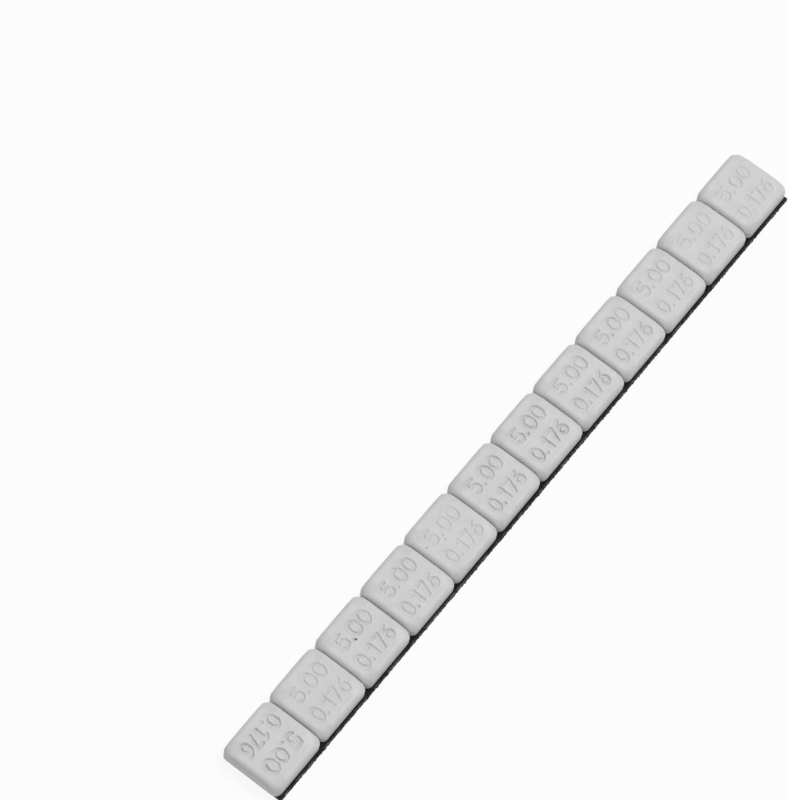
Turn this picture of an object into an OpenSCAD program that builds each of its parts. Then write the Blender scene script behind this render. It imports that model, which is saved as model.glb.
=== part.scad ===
// Stick-on wheel balance weight: a strip of small coated steel weights that sit in a row
// on one length of black foam tape, with a paper release liner under the tape.
//
// The strip runs along X, +Z is up, and the origin is on the underside of the liner,
// at the middle of the whole strip's box. The tape stands proud of the weights on the -Y side.

/* [Weights] */
// How many weights sit on the strip
weight_count = 12; // [2:1:24]
// Length of one weight, along the strip
weight_l = 13.7; // [8:0.1:30]
// Width of one weight, across the strip
weight_w = 13.5; // [8:0.1:30]
// Height of one weight, without the tape
weight_h = 3.6; // [1.6:0.1:8]
// Gap between one weight and the next
seam_gap = 0.1; // [0.05:0.05:2]
// Radius of the upright corners, seen from above
corner_r = 1.5; // [1.1:0.1:2.9]
// How far in from both sides the soft round over each top corner has its axis
crown_axis = 4.2; // [3:0.1:6]
// Radius of the shoulder all round the top
shoulder_r = 1.0; // [0.2:0.1:1.7]
// Radius of the small edge break all round the foot
foot_r = 0.25; // [0.05:0.05:0.5]

/* [Foam tape] */
// Thickness of the foam tape
tape_t = 1.1; // [0.4:0.1:3]
// Width of the tape past the weights on the -Y side
tape_proud = 0.65; // [0:0.05:2]
// Width of the weights past the tape on the +Y side
tape_shy = 0.45; // [0:0.05:2]
// How far the tape ends short of the end weights
tape_end_shy = 0.5; // [0:0.05:3]

/* [Release liner] */
// Thickness of the release liner
liner_t = 0.15; // [0.05:0.05:0.5]
// How far the liner's long edges lie inside the tape's
liner_inset = 0.05; // [0:0.05:1]

/* [Hidden] */
$fn = 48;

// Distance from one weight to the next, and the length of the row
pitch = weight_l + seam_gap;
row_l = weight_count * pitch - seam_gap;

// Levels of the tape's underside and of the weights' underside
tape_z = liner_t;
weight_z = tape_z + tape_t;

// Across the strip, the box runs from the tape's proud edge to the weights' far side
box_w = tape_proud + weight_w;
tape_y0 = -box_w / 2;
weight_y = tape_y0 + tape_proud + weight_w / 2;
tape_w = tape_proud + weight_w - tape_shy;
tape_l = row_l - 2 * tape_end_shy;

// Extra length that lets a cutter pass right through a face
spare = 0.1;

// The round over a top corner starts just past the straight shoulders, so that it leaves them whole,
// and it ends just outside the upright corner
crown_start = crown_axis - shoulder_r + spare;
crown_r = sqrt(2) * (crown_axis - corner_r) + corner_r + spare - crown_start;

function weight_name(i) = str("weight_", i < 10 ? "0" : "", i);

// What is cut away to round an outer corner at +X +Y of a flat outline
module corner_waste(r) {
    difference() {
        square(r + spare);
        circle(r);
    }
}

// Upright section of a weight from its middle to one side, with the shoulder and the foot break
module half_section(reach) {
    difference() {
        square([reach, weight_h]);
        translate([reach - shoulder_r, weight_h - shoulder_r]) corner_waste(shoulder_r);
        translate([reach - foot_r, foot_r]) mirror([0, 1]) corner_waste(foot_r);
    }
}

// A bar along X that has the full section of the weight, from one side to the other
module section_bar(length, reach) {
    rotate([90, 0, 90]) linear_extrude(length, center = true) {
        half_section(reach);
        mirror([1, 0]) half_section(reach);
    }
}

// Four copies, one in each corner, with the origin at an inset from both sides
module at_corners(inset) {
    for (side_x = [0, 1], side_y = [0, 1])
        mirror([side_x, 0, 0]) mirror([0, side_y, 0])
            translate([weight_l / 2 - inset, weight_w / 2 - inset, 0]) children();
}

// Square block with the section all round: two crossed bars carry the four sides, and a quarter
// turn of the same section closes each corner
module rounded_block() {
    section_bar(weight_l - 2 * corner_r, weight_w / 2);
    rotate([0, 0, 90]) section_bar(weight_w - 2 * corner_r, weight_l / 2);
    at_corners(corner_r) rotate_extrude(angle = 90) half_section(corner_r);
}

// One weight, standing on z = 0 with its middle on the Z axis. Its top corners fall away in a
// wider round than its sides do, which gives it the form of a cushion
module weight_body() {
    difference() {
        rounded_block();
        at_corners(crown_axis) translate([0, 0, weight_h - crown_r]) rotate_extrude(angle = 90)
            translate([crown_start, 0]) corner_waste(crown_r);
    }
}

// Weight number i, counted from the -X end
module weight(i) {
    x = (i - (weight_count + 1) / 2) * pitch;
    color("lightgray") translate([x, weight_y, weight_z]) weight_body();
}

// Double-sided foam tape, die-cut square
module foam_tape() {
    color([0.06, 0.06, 0.06]) translate([-tape_l / 2, tape_y0, tape_z]) cube([tape_l, tape_w, tape_t]);
}

// Paper liner that is peeled off before the strip is stuck to a rim
module release_liner() {
    liner_w = tape_w - 2 * liner_inset;
    color("ivory") translate([-tape_l / 2, tape_y0 + liner_inset, 0]) cube([tape_l, liner_w, liner_t]);
}

for (i = [1:weight_count])
    weight(i);
foam_tape();
release_liner();
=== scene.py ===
"""A stick-on wheel balance weight: twelve coated steel weights on one strip of black foam tape.

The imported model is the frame. Each weight, the tape and the liner are made again here with their
real surfaces, in the places that the frame gives them.
"""

import math
import random

import bpy
from mathutils import Euler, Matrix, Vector


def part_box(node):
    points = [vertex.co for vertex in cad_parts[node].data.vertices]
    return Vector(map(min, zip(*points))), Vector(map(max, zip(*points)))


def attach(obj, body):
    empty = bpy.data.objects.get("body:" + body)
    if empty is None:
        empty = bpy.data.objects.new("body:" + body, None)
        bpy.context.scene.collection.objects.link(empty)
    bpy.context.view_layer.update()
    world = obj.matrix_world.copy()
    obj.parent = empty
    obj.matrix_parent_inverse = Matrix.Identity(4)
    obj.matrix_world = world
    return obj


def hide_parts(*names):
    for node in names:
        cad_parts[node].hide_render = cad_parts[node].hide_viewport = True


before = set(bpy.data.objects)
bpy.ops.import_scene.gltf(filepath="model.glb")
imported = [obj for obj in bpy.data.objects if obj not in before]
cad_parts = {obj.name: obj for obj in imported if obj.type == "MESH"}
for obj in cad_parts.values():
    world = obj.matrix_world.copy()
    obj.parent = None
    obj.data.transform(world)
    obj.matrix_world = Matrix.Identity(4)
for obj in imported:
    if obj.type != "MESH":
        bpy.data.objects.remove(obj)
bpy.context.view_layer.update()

MM = 0.001
BODY = "root"

# Steel under the coating: its edges, and the wider round over each top corner
CORNER_RADIUS = 1.5 * MM
SHOULDER_RADIUS = 1.0 * MM
FOOT_RADIUS = 0.25 * MM
CROWN_INSET = 4.2 * MM
CROWN_MARGIN = 0.1 * MM

# How the coating softens that form: blended corners that droop, and a top that is a little hollow
CROWN_BLEND = 0.7 * MM
CORNER_DROOP = 0.8 * MM
DROOP_START = 1.0 * MM
RIM_WIDTH = 2.6 * MM
RIM_LIFT = 0.08 * MM

# Lumps in the coating, and its finer orange peel; both fade in over a stretch above the foot
LUMP_HEIGHT = 0.025 * MM
LUMP_SIZE = 3.0 * MM
PEEL_HEIGHT = 0.004 * MM
PEEL_SHARE = 0.2
PEEL_SEED = 9.0
LUMPS_START = 0.2 * MM
LUMPS_FULL = 0.6 * MM

# A weight's mesh: rows of its grid that fold down, and the share of them at which each stretch ends
MESH_STEP = 0.1 * MM
SKIRT_ROWS = 20
SHOULDER_END = 0.5
SIDE_END = 0.8
FOOT_END = 0.92
FOOT_LIP = 0.4 * MM
MERGE_SHARE = 0.01

# How far a weight may sit out of line on its tape
SLIP_SEED = 11
SLIP_ALONG = 0.015 * MM
SLIP_ACROSS = 0.06 * MM
SLIP_TURN = math.radians(0.15)

# Sunken figures, two rows on every weight, each stroke with a low bead beside it
FIGURE_HEIGHT = 3.0 * MM
FIGURE_GAP = 0.55 * MM
STROKE_WIDTH = 0.4 * MM
STROKE_SOFTNESS = 0.15 * MM
STROKE_RAGGEDNESS = 0.22 * MM
FIGURE_DEPTH = 0.34 * MM
BEAD_WIDTH = 0.34 * MM
BEAD_HEIGHT = 0.07 * MM

# Ragged stroke edges and uneven wear over a row: how wide their bumps are, and their seeds
RAGGED_SIZE = 0.7 * MM
RAGGED_SEED = 4.0
WEAR_SIZE = 2.2 * MM
WEAR_AMOUNT = 0.9
WEAR_SEED = 2.0

# Each row: its figures, how far its middle lies towards +Y, and how wide a figure is
ROWS = (
    ("5.00", 2.55 * MM, 2.15 * MM),
    ("0.176", -2.85 * MM, 1.75 * MM),
)

# How sharply the coating shows the figures, weight by weight from the -X end
FIGURE_SHARPNESS = (1.0, 0.6, 0.75, 0.72, 0.5, 0.85, 0.95, 0.7, 0.68, 0.58, 0.42, 0.45)
BLUR_OF_FAINT = 0.6
TURNED_WEIGHTS = (1,)
SEED_PER_WEIGHT = 7.3

# Chips in the coating: weight, place from its middle, radius
CHIPS = (
    (3, (-1.13 * MM, 0.83 * MM), 0.3 * MM),
    (5, (-5.41 * MM, 1.91 * MM), 0.18 * MM),
    (5, (-1.68 * MM, 0.21 * MM), 0.14 * MM),
)

# Cut sides of the foam and of the liner paper
FOAM_CUT = {
    "Step along": 0.13 * MM,
    "Step across": 0.8 * MM,
    "Layers": 9,
    "Cell size": 0.5 * MM,
    "Cell depth": 0.4 * MM,
    "Wander": 0.05 * MM,
    "Seed": 4.0,
}
PAPER_CUT = {
    "Step along": 0.5 * MM,
    "Step across": 0.5 * MM,
    "Layers": 2,
    "Cell size": 0.3 * MM,
    "Cell depth": 0.01 * MM,
    "Wander": 0.02 * MM,
    "Seed": 6.0,
}
CUT_FACE = 0.02 * MM
CUT_INWARD = 0.15
WANDER_SPAN = 14.0
WANDER_SEED = 5.0
CALM_CORNER = 0.7 * MM
CALM_SHARE = 0.75

# Mottle: how much broader the broad one is than the fine, its share, and what sets their noise apart
BROAD_SPAN = 6.0
BROAD_SHARE = 0.6
FINE_SEED = 3.0

# Coating: its colours and roughness, each from the darker to the lighter mottle, and its chips' edges
COAT_GREYS = ((0.44, 0.44, 0.435, 1.0), (0.69, 0.69, 0.685, 1.0))
COAT_ROUGHNESS = (0.44, 0.56)
BARE_STEEL = (0.03, 0.028, 0.027, 1.0)
CHIP_EDGE_SIZE = 0.2 * MM
CHIP_RAGGEDNESS = 0.5
CHIP_CORE = 0.6

# Foam: its colours, and its roughness from the cut sides to the glue
FOAM_BLACKS = ((0.022, 0.022, 0.023, 1.0), (0.2, 0.2, 0.202, 1.0))
# Glue black: partly the film's own colour, partly painted shade on the tape's top where the weights shade
# it
GLUE_AND_SHADE_BLACK = (0.006, 0.006, 0.007, 1.0)
FOAM_ROUGHNESS = (0.85, 0.65)
FOAM_GLOSS = 0.15
FOAM_CELL = 0.22 * MM

# Where each of the foam's masks starts and is full: cell walls by the distance from a cell's middle,
# specks by the mottle, glue by how squarely a face looks up or down, and the painted lit band by the place
# in from an edge
CELL_WALLS = (0.25, 0.7)
SPECKS = (0.4, 0.7)
GLUED_FACING = (0.6, 0.9)
LIT_BAND_START = 0.4 * MM
LIT_BAND_FULL = 0.15 * MM

PAPER_WHITES = ((0.7, 0.69, 0.66, 1.0), (0.78, 0.77, 0.75, 1.0))
PAPER_ROUGHNESS = 0.55

# Camera: the photograph's long lens, high over the strip's -X end
CAMERA_AZIMUTH = -62.145
CAMERA_ELEVATION = 64.85
CAMERA_ROLL = 10.83
CAMERA_DISTANCE = 762.1 * MM
CAMERA_AIM = Vector((-3.49, 26.99, 0.0)) * MM
CAMERA_LENS = 175.65
SENSOR_WIDTH = 36.0
NEAR_CLIP = 0.01

# Light: how bright the sky is to the surfaces, and one broad lamp towards +X
SKY_LIGHT = 0.45
LAMP_AZIMUTH = -15
LAMP_ELEVATION = 66
LAMP_DISTANCE = 3.0
LAMP_SIZE = 1.4
LAMP_POWER = 55.0

# Floor: half its width, its grey and roughness, and how much of it the camera sees as plain white
FLOOR_REACH = 3.0
FLOOR_GREY = (0.8, 0.8, 0.8, 1.0)
FLOOR_ROUGHNESS = 0.9
FLOOR_WHITENESS = 0.9
WHITE = (1.0, 1.0, 1.0, 1.0)


class Field:
    """A number that a node tree works out at every point, so that formulas read as formulas."""

    def __init__(self, tree, socket):
        self.tree = tree
        self.socket = socket

    def apply(self, operation, *others):
        return formula(self.tree, operation, self, *others)

    def __add__(self, other):
        return self.apply("ADD", other)

    def __sub__(self, other):
        return self.apply("SUBTRACT", other)

    def __rsub__(self, other):
        return formula(self.tree, "SUBTRACT", other, self)

    def __mul__(self, other):
        return self.apply("MULTIPLY", other)

    def __truediv__(self, other):
        return self.apply("DIVIDE", other)

    def __rtruediv__(self, other):
        return formula(self.tree, "DIVIDE", other, self)

    def between(self, low, high):
        """From low to high as this field goes from 0 to 1."""
        return self * (high - low) + low

    def rising(self, start, end, soft=False):
        """0 up to start, 1 from end on, and a straight or soft rise between them."""
        node = add(
            self.tree, "ShaderNodeMapRange",
            {"Value": self, "From Min": start, "From Max": end},
            interpolation_type="SMOOTHSTEP" if soft else "LINEAR",
        )
        return Field(self.tree, node.outputs["Result"])


def feed(tree, socket, value):
    """Links a field or a node's output to a socket, or writes a plain value into it."""
    if isinstance(value, Field):
        value = value.socket
    if isinstance(value, bpy.types.NodeSocket):
        tree.links.new(value, socket)
    else:
        socket.default_value = value


def add(tree, kind, inputs=None, **settings):
    """A new node with its settings and inputs."""
    node = tree.nodes.new(kind)
    for name, value in settings.items():
        setattr(node, name, value)
    for name, value in (inputs or {}).items():
        feed(tree, node.inputs[name], value)
    return node


def formula(tree, operation, *values):
    """One step of arithmetic on fields and plain numbers."""
    node = add(tree, "ShaderNodeMath", dict(enumerate(values)), operation=operation)
    return Field(tree, node.outputs[0])


def vector(tree, operation, *values):
    """One vector step; a Scale step takes its factor as the second value."""
    node = add(tree, "ShaderNodeVectorMath", operation=operation)
    for place, value in enumerate(values):
        socket = node.inputs["Scale"] if operation == "SCALE" and place == 1 else node.inputs[place]
        feed(tree, socket, value)
    return node.outputs["Value"] if operation == "LENGTH" else node.outputs["Vector"]


def combine(tree, x=0.0, y=0.0, z=0.0):
    return add(tree, "ShaderNodeCombineXYZ", {"X": x, "Y": y, "Z": z}).outputs["Vector"]


def split(tree, socket):
    node = add(tree, "ShaderNodeSeparateXYZ", {0: socket})
    return [Field(tree, node.outputs[axis]) for axis in "XYZ"]


def noise(tree, place, size, seed=0.0, detail=1.0):
    """Soft noise from -1 to 1 with bumps about as wide as size."""
    scaled = vector(tree, "SCALE", place, 1.0 / size)
    moved = vector(tree, "ADD", scaled, combine(tree, seed, seed, seed))
    texture = add(tree, "ShaderNodeTexNoise", {"Vector": moved, "Scale": 1.0, "Detail": detail})
    return Field(tree, texture.outputs[0]) * 2.0 - 1.0


SOCKETS = {
    "geometry": "NodeSocketGeometry",
    "number": "NodeSocketFloat",
    "count": "NodeSocketInt",
    "vector": "NodeSocketVector",
    "material": "NodeSocketMaterial",
}


def new_tree(name, kind, inputs, outputs):
    """An empty node group with named inputs and outputs."""
    tree = bpy.data.node_groups.new(name, kind)
    for direction, sockets in (("INPUT", inputs), ("OUTPUT", outputs)):
        for label, socket_kind in sockets.items():
            tree.interface.new_socket(label, in_out=direction, socket_type=SOCKETS[socket_kind])
    return tree, add(tree, "NodeGroupInput").outputs, add(tree, "NodeGroupOutput").inputs


def named_numbers(tree, given, inputs):
    """A tree's number inputs as fields, by name."""
    return {name: Field(tree, given[name]) for name, kind in inputs.items() if kind == "number"}


WEIGHT_INPUTS = {
    "Strokes": "geometry",
    "Length": "number",
    "Width": "number",
    "Height": "number",
    "Corner radius": "number",
    "Crown inset": "number",
    "Corner droop": "number",
    "Shoulder radius": "number",
    "Foot radius": "number",
    "Mesh step": "number",
    "Stroke width": "number",
    "Stroke softness": "number",
    "Stroke raggedness": "number",
    "Figure depth": "number",
    "Bead width": "number",
    "Bead height": "number",
    "Rim lift": "number",
    "Lump height": "number",
    "Lump size": "number",
    "Peel height": "number",
    "Seed": "number",
    "Turn": "vector",
    "Place": "vector",
    "Finish": "material",
}


def build_weight_tree():
    """Folds a flat grid over the shoulders and down the sides of a weight, and sinks the strokes."""
    tree, given, result = new_tree(
        "coated weight", "GeometryNodeTree", WEIGHT_INPUTS, {"Geometry": "geometry"}
    )
    size = named_numbers(tree, given, WEIGHT_INPUTS)
    top_radius = size["Corner radius"] - size["Shoulder radius"]
    sheet, plan, level, reach, down = fold_sheet(tree, size, top_radius)
    sunk = figure_relief(tree, size, given["Strokes"], plan)

    # The top is a little hollow, with a lifted rim
    middle_share = 1.0 - reach.rising(top_radius - RIM_WIDTH, top_radius, soft=True)
    hollow = size["Rim lift"] * middle_share
    dressed = level - (sunk + hollow) * (1.0 - down.rising(0.0, SHOULDER_END))
    height = soften_corners(tree, size, plan, level, dressed)

    x, y, _ = split(tree, plan)
    folded = add(tree, "GeometryNodeSetPosition", {
        "Geometry": sheet, "Position": combine(tree, x, y, height),
    })
    shell = close_underside(tree, folded.outputs[0], size["Mesh step"])
    lumpy = coat_with_lumps(tree, size, shell)
    placed = add(tree, "GeometryNodeTransform", {
        "Geometry": lumpy, "Translation": given["Place"], "Rotation": given["Turn"],
    })
    smooth = add(tree, "GeometryNodeSetShadeSmooth", {"Geometry": placed.outputs[0]})
    finish_with(tree, smooth.outputs[0], given["Finish"], result["Geometry"])
    return tree


def fold_sheet(tree, size, top_radius):
    """A flat grid, and for its points the place in plan, the level, and how far out and down they go."""
    shoulder, foot, step = size["Shoulder radius"], size["Foot radius"], size["Mesh step"]
    half_length = size["Length"] * 0.5 - shoulder
    half_width = size["Width"] * 0.5 - shoulder
    skirt = step * SKIRT_ROWS
    grid = add(tree, "GeometryNodeMeshGrid", {
        "Size X": (half_length + skirt) * 2.0,
        "Size Y": (half_width + skirt) * 2.0,
        "Vertices X": (half_length + skirt) * 2.0 / step,
        "Vertices Y": (half_width + skirt) * 2.0 / step,
    })
    flat = add(tree, "GeometryNodeInputPosition").outputs[0]
    spread = vector(tree, "ABSOLUTE", flat)
    centre = combine(tree, half_length - top_radius, half_width - top_radius)
    past = vector(tree, "MAXIMUM", vector(tree, "SUBTRACT", spread, centre), (0.0, 0.0, 0.0))
    past_x, past_y, _ = split(tree, past)
    reach = past_x.apply("MAXIMUM", past_y)
    down = (reach - top_radius) / skirt

    # Section from the top's edge: shoulder arc, upright side, foot arc, then a lip underneath
    quarter = math.pi / 2
    shoulder_turn = down.rising(0.0, SHOULDER_END) * quarter
    side_share = down.rising(SHOULDER_END, SIDE_END)
    foot_turn = down.rising(SIDE_END, FOOT_END) * quarter
    lip_share = down.rising(FOOT_END, 1.0)
    side_height = size["Height"] - shoulder - foot
    out = (
        shoulder * shoulder_turn.apply("SINE")
        - foot * (1.0 - foot_turn.apply("COSINE"))
        - lip_share * FOOT_LIP
    )
    level = (
        size["Height"]
        - shoulder * (1.0 - shoulder_turn.apply("COSINE"))
        - side_height * side_share
        - foot * foot_turn.apply("SINE")
    )
    radius = reach.apply("MINIMUM", top_radius) + out
    bent = vector(tree, "SCALE", vector(tree, "NORMALIZE", past), radius)
    plan = vector(tree, "ADD", vector(tree, "MINIMUM", spread, centre), bent)
    plan = vector(tree, "MULTIPLY", plan, vector(tree, "SIGN", flat))
    return grid.outputs["Mesh"], plan, level, reach, down


def figure_relief(tree, size, strokes, plan):
    """How deep a point is sunk, from its distance to the nearest stroke; a bead rises beside it."""
    nearest = add(
        tree, "GeometryNodeProximity", {"Geometry": strokes, "Sample Position": plan},
        target_element="EDGES",
    )
    ragged = noise(tree, plan, RAGGED_SIZE, size["Seed"] + RAGGED_SEED, detail=2.0)
    away = Field(tree, nearest.outputs["Distance"]) + ragged * size["Stroke raggedness"]
    worn = noise(tree, plan, WEAR_SIZE, size["Seed"] + WEAR_SEED) * WEAR_AMOUNT + 1.0
    half_stroke, softness = size["Stroke width"] * 0.5, size["Stroke softness"]
    wall = away.rising(half_stroke - softness, half_stroke + softness, soft=True)
    bead_start = half_stroke + softness * 0.5
    bead_middle = bead_start + size["Bead width"] * 0.5
    bead_end = bead_start + size["Bead width"]
    bead = away.rising(bead_start, bead_middle, soft=True) - away.rising(bead_middle, bead_end, soft=True)
    return (size["Figure depth"] * (1.0 - wall) - size["Bead height"] * bead) * worn


def soften_corners(tree, size, plan, level, dressed):
    """The height of a point once a wider round has lowered the top corners, and they droop."""
    inset = size["Crown inset"]
    crown_start = inset - size["Shoulder radius"] + CROWN_MARGIN
    crown_end = (inset - size["Corner radius"]) * math.sqrt(2) + size["Corner radius"] + CROWN_MARGIN
    axis = combine(tree, size["Length"] * 0.5 - inset, size["Width"] * 0.5 - inset)
    past_axis = vector(tree, "SUBTRACT", vector(tree, "ABSOLUTE", plan), axis)
    beyond = vector(tree, "MAXIMUM", past_axis, (0.0, 0.0, 0.0))
    share = Field(tree, vector(tree, "LENGTH", beyond)).rising(crown_start, crown_end)
    fall = (crown_end - crown_start) * (1.0 - (1.0 - share * share).apply("SQRT"))
    crown = size["Height"] - fall + CROWN_BLEND * 0.5
    along, across, _ = split(tree, past_axis)
    droop = size["Corner droop"] * along.rising(DROOP_START, inset) * across.rising(DROOP_START, inset)
    return crown.apply("SMOOTH_MIN", dressed, CROWN_BLEND) - droop * level.rising(0.0, size["Height"])


def close_underside(tree, sheet, step):
    """Fills the opening inside the lip and merges it with the sheet."""
    faces_at_edge = Field(tree, add(tree, "GeometryNodeInputMeshEdgeNeighbors").outputs[0])
    tolerance = 0.1
    rim = faces_at_edge.apply("COMPARE", 1.0, tolerance)
    loop = add(tree, "GeometryNodeMeshToCurve", {"Mesh": sheet, "Selection": rim})
    floor = add(tree, "GeometryNodeFillCurve", {"Curve": loop.outputs[0]}, mode="NGONS")
    under = add(tree, "GeometryNodeFlipFaces", {"Mesh": floor.outputs[0]})
    joined = add(tree, "GeometryNodeJoinGeometry")
    for part in (sheet, under.outputs[0]):
        tree.links.new(part, joined.inputs[0])
    shell = add(tree, "GeometryNodeMergeByDistance", {
        "Geometry": joined.outputs[0], "Distance": step * MERGE_SHARE,
    })
    return shell.outputs[0]


def coat_with_lumps(tree, size, shell):
    """Lumps and orange peel in the coating, along the surface's own normal."""
    place = add(tree, "GeometryNodeInputPosition").outputs[0]
    lumps = noise(tree, place, size["Lump size"], size["Seed"], detail=2.0) * size["Lump height"]
    peel_size = size["Lump size"] * PEEL_SHARE
    peel = noise(tree, place, peel_size, size["Seed"] + PEEL_SEED) * size["Peel height"]
    off_foot = split(tree, place)[2].rising(LUMPS_START, LUMPS_FULL)
    normal = add(tree, "GeometryNodeInputNormal").outputs[0]
    swell = vector(tree, "SCALE", normal, (lumps + peel) * off_foot)
    return add(tree, "GeometryNodeSetPosition", {"Geometry": shell, "Offset": swell}).outputs[0]


STRIP_INPUTS = {
    "Size": "vector",
    "Step along": "number",
    "Step across": "number",
    "Layers": "count",
    "Cell size": "number",
    "Cell depth": "number",
    "Wander": "number",
    "Seed": "number",
    "Place": "vector",
    "Finish": "material",
}


def build_strip_tree():
    """A flat die-cut strip whose cut sides are rough, as foam or paper is."""
    tree, given, result = new_tree(
        "die-cut strip", "GeometryNodeTree", STRIP_INPUTS, {"Geometry": "geometry"}
    )
    size = named_numbers(tree, given, STRIP_INPUTS)
    length, width, _ = split(tree, given["Size"])
    block = add(tree, "GeometryNodeMeshCube", {
        "Size": given["Size"],
        "Vertices X": length / size["Step along"],
        "Vertices Y": width / size["Step across"],
        "Vertices Z": given["Layers"],
    })
    place = add(tree, "GeometryNodeInputPosition").outputs[0]
    x, y, _ = split(tree, place)
    off_x, off_y = x.apply("ABSOLUTE"), y.apply("ABSOLUTE")
    half_length, half_width = length * 0.5, width * 0.5
    on_end = off_x.rising(half_length - CUT_FACE, half_length)
    on_side = off_y.rising(half_width - CUT_FACE, half_width)

    # Cells at the cut face, which also wanders a little; the corners stay calm
    cells = noise(tree, place, size["Cell size"], size["Seed"], detail=2.0) * size["Cell depth"]
    span = size["Cell size"] * WANDER_SPAN
    wander = noise(tree, place, span, size["Seed"] + WANDER_SEED) * size["Wander"]
    near_end = off_x.rising(half_length - CALM_CORNER, half_length)
    near_side = off_y.rising(half_width - CALM_CORNER, half_width)
    calm = 1.0 - near_side * near_end * CALM_SHARE
    rough = (cells - size["Cell depth"] * CUT_INWARD + wander) * calm
    offset = combine(tree, rough * on_end * x.apply("SIGN"), rough * on_side * y.apply("SIGN"))
    cut = add(tree, "GeometryNodeSetPosition", {"Geometry": block.outputs["Mesh"], "Offset": offset})
    placed = add(tree, "GeometryNodeTransform", {"Geometry": cut.outputs[0], "Translation": given["Place"]})
    finish_with(tree, placed.outputs[0], given["Finish"], result["Geometry"])
    return tree


def finish_with(tree, geometry, material, output):
    """Ends a tree with real meshes and their finish."""
    real = add(tree, "GeometryNodeRealizeInstances", {"Geometry": geometry})
    painted = add(tree, "GeometryNodeSetMaterial", {"Geometry": real.outputs[0], "Material": material})
    tree.links.new(painted.outputs[0], output)


def grow(name, tree, values, source):
    """Runs a tree once on the source mesh and keeps its result as a plain mesh object at the origin."""
    piece = bpy.data.objects.new(name, source)
    bpy.context.scene.collection.objects.link(piece)
    modifier = piece.modifiers.new(tree.name, "NODES")
    modifier.node_group = tree
    for item in tree.interface.items_tree:
        if item.in_out == "INPUT" and item.name in values:
            modifier[item.identifier] = values[item.name]
    made = piece.evaluated_get(bpy.context.evaluated_depsgraph_get())
    mesh = bpy.data.meshes.new_from_object(made)
    piece.modifiers.clear()
    piece.data = mesh
    mesh.name = name
    bpy.data.meshes.remove(source)
    return piece


def arc(centre, radius_x, radius_y, start, end, points=14):
    """Points of an arc, its angles in degrees."""
    turns = [math.radians(start + (end - start) * i / (points - 1)) for i in range(points)]
    return [(centre[0] + radius_x * math.cos(a), centre[1] + radius_y * math.sin(a)) for a in turns]


# Strokes of a plain figure in a box 1 high and as wide as FIGURE_BOX, with its own width after them
FIGURE_BOX = 0.7
FIGURES = {
    "0": ([arc((0.35, 0.5), 0.33, 0.48, 0, 360, 28)], 1.0),
    "1": ([[(0.1, 0.78), (0.36, 0.98), (0.36, 0.02)]], 0.75),
    "5": ([[(0.62, 0.97), (0.12, 0.97), (0.08, 0.56)] + arc((0.33, 0.31), 0.31, 0.3, 125, -145, 18)], 1.0),
    "6": ([arc((0.34, 0.31), 0.31, 0.29, 0, 360, 22), arc((0.75, 0.36), 0.72, 0.62, 180, 105, 10)], 1.0),
    "7": ([[(0.04, 0.97), (0.66, 0.97), (0.24, 0.02)]], 1.0),
    ".": ([[(0.04, 0.04), (0.08, 0.04)]], 0.3),
}


def row_strokes(text, row_middle, figure_width):
    """The strokes of one row of figures, centred along the weight."""
    widths = [FIGURES[figure][1] * figure_width for figure in text]
    left = -(sum(widths) + FIGURE_GAP * (len(text) - 1)) / 2
    foot = row_middle - FIGURE_HEIGHT / 2
    for figure, width in zip(text, widths):
        for stroke in FIGURES[figure][0]:
            yield [(left + x / FIGURE_BOX * figure_width, foot + y * FIGURE_HEIGHT, 0.0) for x, y in stroke]
        left += width + FIGURE_GAP


def figure_strokes():
    """Both rows of figures as a mesh of edges."""
    points, edges = [], []
    for row in ROWS:
        for stroke in row_strokes(*row):
            first = len(points)
            points += stroke
            edges += [(i, i + 1) for i in range(first, len(points) - 1)]
    mesh = bpy.data.meshes.new("strokes")
    mesh.from_pydata(points, edges, [])
    return mesh


def build_grain_group():
    """Fine mottling over a surface: a mask from 0 to 1 and a height for a bump."""
    tree, given, result = new_tree(
        "fine grain", "ShaderNodeTree",
        {"Grain size": "number", "Contrast": "number", "Seed": "number"},
        {"Mask": "number", "Height": "number"},
    )
    place = add(tree, "ShaderNodeTexCoord").outputs["Object"]
    grain_size, seed = Field(tree, given["Grain size"]), Field(tree, given["Seed"])
    broad = noise(tree, place, grain_size * BROAD_SPAN, seed, detail=3.0)
    fine = noise(tree, place, grain_size, seed + FINE_SEED, detail=2.0)
    mottle = broad * BROAD_SHARE + fine * (1.0 - BROAD_SHARE)
    mask = mottle * Field(tree, given["Contrast"]) * 0.5 + 0.5
    feed(tree, result["Mask"], mask)
    feed(tree, result["Height"], fine * 0.5 + 0.5)
    return tree


def new_material(name):
    material = bpy.data.materials.new(name)
    material.use_nodes = True
    tree = material.node_tree
    return material, tree, tree.nodes["Principled BSDF"].inputs


def grain(tree, group, size, contrast, seed):
    """The grain group placed in a material: its mask as a field, and its height."""
    values = {"Grain size": size, "Contrast": contrast, "Seed": seed}
    node = add(tree, "ShaderNodeGroup", values, node_tree=group)
    return Field(tree, node.outputs["Mask"]), node.outputs["Height"]


def mix_colours(tree, share, first, second):
    node = add(tree, "ShaderNodeMix", data_type="RGBA")
    feed(tree, node.inputs[0], share)
    feed(tree, node.inputs[6], first)
    feed(tree, node.inputs[7], second)
    return node.outputs[2]


def add_bump(tree, surface, height, strength, distance):
    bump = add(tree, "ShaderNodeBump", {"Strength": strength, "Distance": distance, "Height": height})
    feed(tree, surface["Normal"], bump.outputs[0])


def chip_mask(tree, place, number, offset, radius):
    """1 inside one ragged chip in a weight's top, 0 outside it."""
    low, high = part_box(weight_name(number))
    middle = (low + high) / 2
    spot = (middle.x + offset[0], middle.y + offset[1], high.z)
    away = Field(tree, vector(tree, "LENGTH", vector(tree, "SUBTRACT", place, spot)))
    edge = noise(tree, place, CHIP_EDGE_SIZE, seed=1.0, detail=3.0) * (radius * CHIP_RAGGEDNESS)
    return (away + edge).rising(radius, radius * CHIP_CORE, soft=True)


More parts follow.
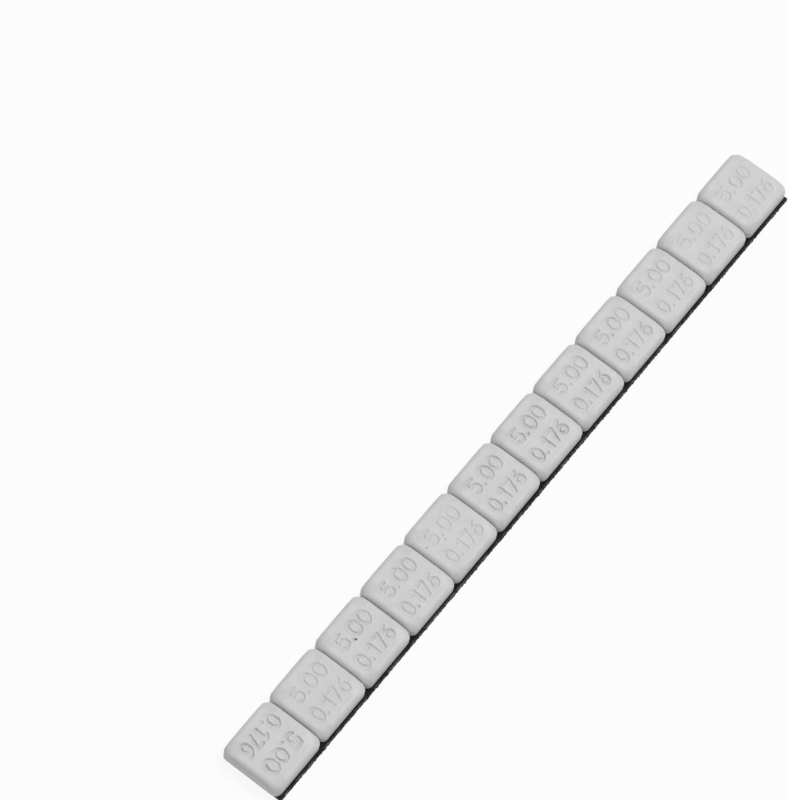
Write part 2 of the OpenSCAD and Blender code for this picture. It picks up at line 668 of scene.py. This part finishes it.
def grey_coat(group):
    """Pale grey baked coating: satin, slightly mottled, with orange peel and a few chips."""
    material, tree, surface = new_material("grey_coat")
    mask, height = grain(tree, group, size=0.5 * MM, contrast=0.7, seed=2.0)
    colour = mix_colours(tree, mask, *COAT_GREYS)
    place = add(tree, "ShaderNodeTexCoord").outputs["Object"]
    for chip in CHIPS:
        colour = mix_colours(tree, chip_mask(tree, place, *chip), colour, BARE_STEEL)
    feed(tree, surface["Base Color"], colour)
    feed(tree, surface["Roughness"], mask.between(*COAT_ROUGHNESS))
    add_bump(tree, surface, height, strength=0.25, distance=0.02 * MM)
    return material


def glue_and_shade_mask(tree, place):
    """1 on the tape's flat glue faces, kept glue black, which is partly painted shade where the weights
    shade the top; 0 on its cut sides and on a band along its long edges, painted in the lighter cut colours
    as if lit.
    """
    facing = split(tree, add(tree, "ShaderNodeNewGeometry").outputs["Normal"])[2]
    low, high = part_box("foam_tape")
    half_width = (high.y - low.y) / 2
    off_middle = (split(tree, place)[1] - (high.y + low.y) / 2).apply("ABSOLUTE")
    lit_band = off_middle.rising(half_width - LIT_BAND_START, half_width - LIT_BAND_FULL)
    return facing.apply("ABSOLUTE").rising(*GLUED_FACING) * (1.0 - lit_band)


def black_foam(group):
    """Black closed-cell foam: open cells on the cut sides, a glossier glue film on top whose black is
    partly painted shade, and painted lighter along its long edges as if lit.
    """
    material, tree, surface = new_material("black_foam")
    place = add(tree, "ShaderNodeTexCoord").outputs["Object"]
    mask, _ = grain(tree, group, size=0.25 * MM, contrast=1.6, seed=5.0)
    cells = add(tree, "ShaderNodeTexVoronoi", {"Vector": place, "Scale": 1.0 / FOAM_CELL})
    walls = Field(tree, cells.outputs["Distance"]).rising(*CELL_WALLS, soft=True)
    # Painted highlight: the lighter speck colour stands partly for light caught on the cut cell walls,
    # partly for the mottle's random tone
    specks = walls * mask.rising(*SPECKS, soft=True)
    cut = mix_colours(tree, specks, *FOAM_BLACKS)
    # Painted light and shade: the tape's top stays darkest inward, as painted shade under the weights, and
    # takes the lighter cut colours along its long edges, as painted light
    glued_and_shaded = glue_and_shade_mask(tree, place)
    feed(tree, surface["Base Color"], mix_colours(tree, glued_and_shaded, cut, GLUE_AND_SHADE_BLACK))
    feed(tree, surface["Roughness"], glued_and_shaded.between(*FOAM_ROUGHNESS))
    surface["Specular IOR Level"].default_value = FOAM_GLOSS
    add_bump(tree, surface, walls, strength=0.6, distance=0.08 * MM)
    return material


def release_paper(group):
    """Off-white coated paper."""
    material, tree, surface = new_material("release_paper")
    mask, height = grain(tree, group, size=0.4 * MM, contrast=1.0, seed=8.0)
    feed(tree, surface["Base Color"], mix_colours(tree, mask, *PAPER_WHITES))
    surface["Roughness"].default_value = PAPER_ROUGHNESS
    add_bump(tree, surface, height, strength=0.3, distance=0.02 * MM)
    return material


def weight_name(number):
    return f"weight_{number:02d}"


def weight_numbers():
    return range(1, 1 + sum(name.startswith("weight_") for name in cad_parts))


def make_weights(finish):
    """Every weight in its CAD node's place, each with its own lumps, slip and sharpness."""
    tree = build_weight_tree()
    chance = random.Random(SLIP_SEED)
    for number in weight_numbers():
        name = weight_name(number)
        low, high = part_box(name)
        size, middle = high - low, (low + high) / 2
        slip = Vector((chance.uniform(-1, 1) * SLIP_ALONG, chance.uniform(-1, 1) * SLIP_ACROSS, 0.0))
        turned = math.pi if number in TURNED_WEIGHTS else 0.0
        sharpness = FIGURE_SHARPNESS[number - 1]
        piece = grow(f"coated_{name}", tree, {
            "Length": size.x,
            "Width": size.y,
            "Height": size.z,
            "Corner radius": CORNER_RADIUS,
            "Crown inset": CROWN_INSET,
            "Corner droop": CORNER_DROOP,
            "Shoulder radius": SHOULDER_RADIUS,
            "Foot radius": FOOT_RADIUS,
            "Mesh step": MESH_STEP,
            "Stroke width": STROKE_WIDTH,
            "Stroke softness": STROKE_SOFTNESS * (1.0 + BLUR_OF_FAINT * (1.0 - sharpness)),
            "Stroke raggedness": STROKE_RAGGEDNESS,
            "Figure depth": FIGURE_DEPTH * sharpness,
            "Bead width": BEAD_WIDTH,
            "Bead height": BEAD_HEIGHT * sharpness,
            "Rim lift": RIM_LIFT,
            "Lump height": LUMP_HEIGHT,
            "Lump size": LUMP_SIZE,
            "Peel height": PEEL_HEIGHT,
            "Seed": number * SEED_PER_WEIGHT,
            "Turn": Euler((0.0, 0.0, turned + chance.uniform(-1, 1) * SLIP_TURN)),
            "Place": Vector((middle.x, middle.y, low.z)) + slip,
            "Finish": finish,
        }, figure_strokes())
        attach(piece, BODY)
        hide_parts(name)


def make_strip(name, tree, node, finish, cut):
    """The tape or the liner, in its CAD node's place."""
    low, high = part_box(node)
    values = {"Size": high - low, "Place": (low + high) / 2, "Finish": finish, **cut}
    piece = grow(name, tree, values, bpy.data.meshes.new(name + "_source"))
    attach(piece, BODY)
    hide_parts(node)
    return piece


def make_camera():
    camera = bpy.data.objects.new("camera", bpy.data.cameras.new("camera"))
    bpy.context.scene.collection.objects.link(camera)
    azimuth, elevation = math.radians(CAMERA_AZIMUTH), math.radians(CAMERA_ELEVATION)
    back = Vector((
        math.sin(azimuth) * math.cos(elevation),
        -math.cos(azimuth) * math.cos(elevation),
        math.sin(elevation),
    ))
    camera.location = CAMERA_AIM + back * CAMERA_DISTANCE
    upright = (-back).to_track_quat("-Z", "Y").to_matrix()
    roll = Euler((0.0, 0.0, math.radians(CAMERA_ROLL))).to_matrix()
    camera.rotation_euler = (upright @ roll).to_euler()
    camera.data.lens = CAMERA_LENS
    camera.data.sensor_width = SENSOR_WIDTH
    camera.data.clip_start = NEAR_CLIP
    bpy.context.scene.camera = camera


def shows_plain(tree):
    """1 for the rays that should see the pale background: from the camera, gloss and glass."""
    rays = add(tree, "ShaderNodeLightPath").outputs
    seen = Field(tree, rays["Is Camera Ray"])
    for name in ("Is Glossy Ray", "Is Transmission Ray"):
        seen = seen.apply("MAXIMUM", rays[name])
    return seen


def make_floor():
    """A wide pale floor that looks white and keeps a faint shadow."""
    signs = ((-1, -1), (1, -1), (1, 1), (-1, 1))
    corners = [(x * FLOOR_REACH, y * FLOOR_REACH, 0.0) for x, y in signs]
    mesh = bpy.data.meshes.new("floor")
    mesh.from_pydata(corners, [], [(0, 1, 2, 3)])
    floor = bpy.data.objects.new("floor", mesh)
    bpy.context.scene.collection.objects.link(floor)
    material, tree, surface = new_material("pale_floor")
    surface["Base Color"].default_value = FLOOR_GREY
    surface["Roughness"].default_value = FLOOR_ROUGHNESS
    surface["Specular IOR Level"].default_value = 0.0
    white = add(tree, "ShaderNodeEmission", {"Color": WHITE, "Strength": 1.0})
    mixed = add(tree, "ShaderNodeMixShader", {0: shows_plain(tree) * FLOOR_WHITENESS})
    tree.links.new(tree.nodes["Principled BSDF"].outputs[0], mixed.inputs[1])
    tree.links.new(white.outputs[0], mixed.inputs[2])
    tree.links.new(mixed.outputs[0], tree.nodes["Material Output"].inputs["Surface"])
    mesh.materials.append(material)


def make_sky():
    """A plain sky: white to the camera, and a moderate light to the surfaces."""
    scene = bpy.context.scene
    scene.view_settings.view_transform = "Standard"
    world = bpy.data.worlds.new("sky")
    scene.world = world
    world.use_nodes = True
    tree = world.node_tree
    sky = tree.nodes["Background"].inputs
    sky["Color"].default_value = WHITE
    feed(tree, sky["Strength"], shows_plain(tree).between(SKY_LIGHT, 1.0))


def make_lamp():
    """One broad soft light, high over the photograph's right side."""
    lamp = bpy.data.lights.new("soft_light", "AREA")
    lamp.shape = "SQUARE"
    lamp.size = LAMP_SIZE
    lamp.energy = LAMP_POWER
    light = bpy.data.objects.new("soft_light", lamp)
    bpy.context.scene.collection.objects.link(light)
    azimuth, elevation = math.radians(LAMP_AZIMUTH), math.radians(LAMP_ELEVATION)
    towards = Vector((
        math.cos(azimuth) * math.cos(elevation),
        math.sin(azimuth) * math.cos(elevation),
        math.sin(elevation),
    ))
    light.location = towards * LAMP_DISTANCE
    light.rotation_euler = towards.to_track_quat("Z", "Y").to_euler()


make_camera()
make_sky()
make_lamp()
make_floor()
grain_group = build_grain_group()
make_weights(grey_coat(grain_group))
strip_tree = build_strip_tree()
foam_finish = black_foam(grain_group)
tape = make_strip("cut_foam_tape", strip_tree, "foam_tape", foam_finish, FOAM_CUT)
paper_finish = release_paper(grain_group)
make_strip("peel_off_liner", strip_tree, "release_liner", paper_finish, PAPER_CUT)
